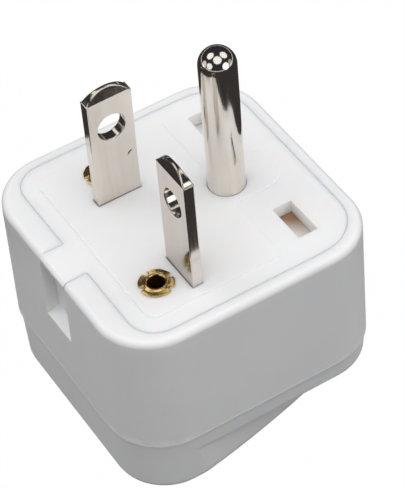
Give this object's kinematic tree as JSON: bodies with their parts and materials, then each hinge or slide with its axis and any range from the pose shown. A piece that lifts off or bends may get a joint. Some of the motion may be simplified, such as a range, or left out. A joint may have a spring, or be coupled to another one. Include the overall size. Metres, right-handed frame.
{
  "type": "plug adapter",
  "caption": "Plug adapter: rounded square moulded body with a universal socket face below, and an upright blade, a crosswise blade and a round ground pin on its plug face.",
  "frame": {"origin": "centre of the body's footprint on the socket face, where the part stands", "axes": "+Z out of the plug face along the pins; +Y from the blades towards the ground pin; +X towards the crosswise blade"},
  "size_m": [0.0366, 0.0366, 0.05],
  "materials": {
    "housing_plastic": "white moulded plastic, soft gloss",
    "plate_plastic": "white moulded plastic, fine satin",
    "nickel_plate": "nickel-plated brass, bright with faint brushing",
    "rivet_brass": "bright yellow brass, rolled edge",
    "contact_brass": "stamped spring brass"
  },
  "bodies": {
    "root": {"housing": "housing_plastic", "base_plate": "plate_plastic", "upright_blade": "nickel_plate", "crosswise_blade": "nickel_plate", "ground_pin": "nickel_plate", "upright_rivet": "rivet_brass", "crosswise_rivet": "rivet_brass", "left_contact": "contact_brass", "right_contact": "contact_brass", "earth_contact": "contact_brass"}
  },
  "joints": []
}
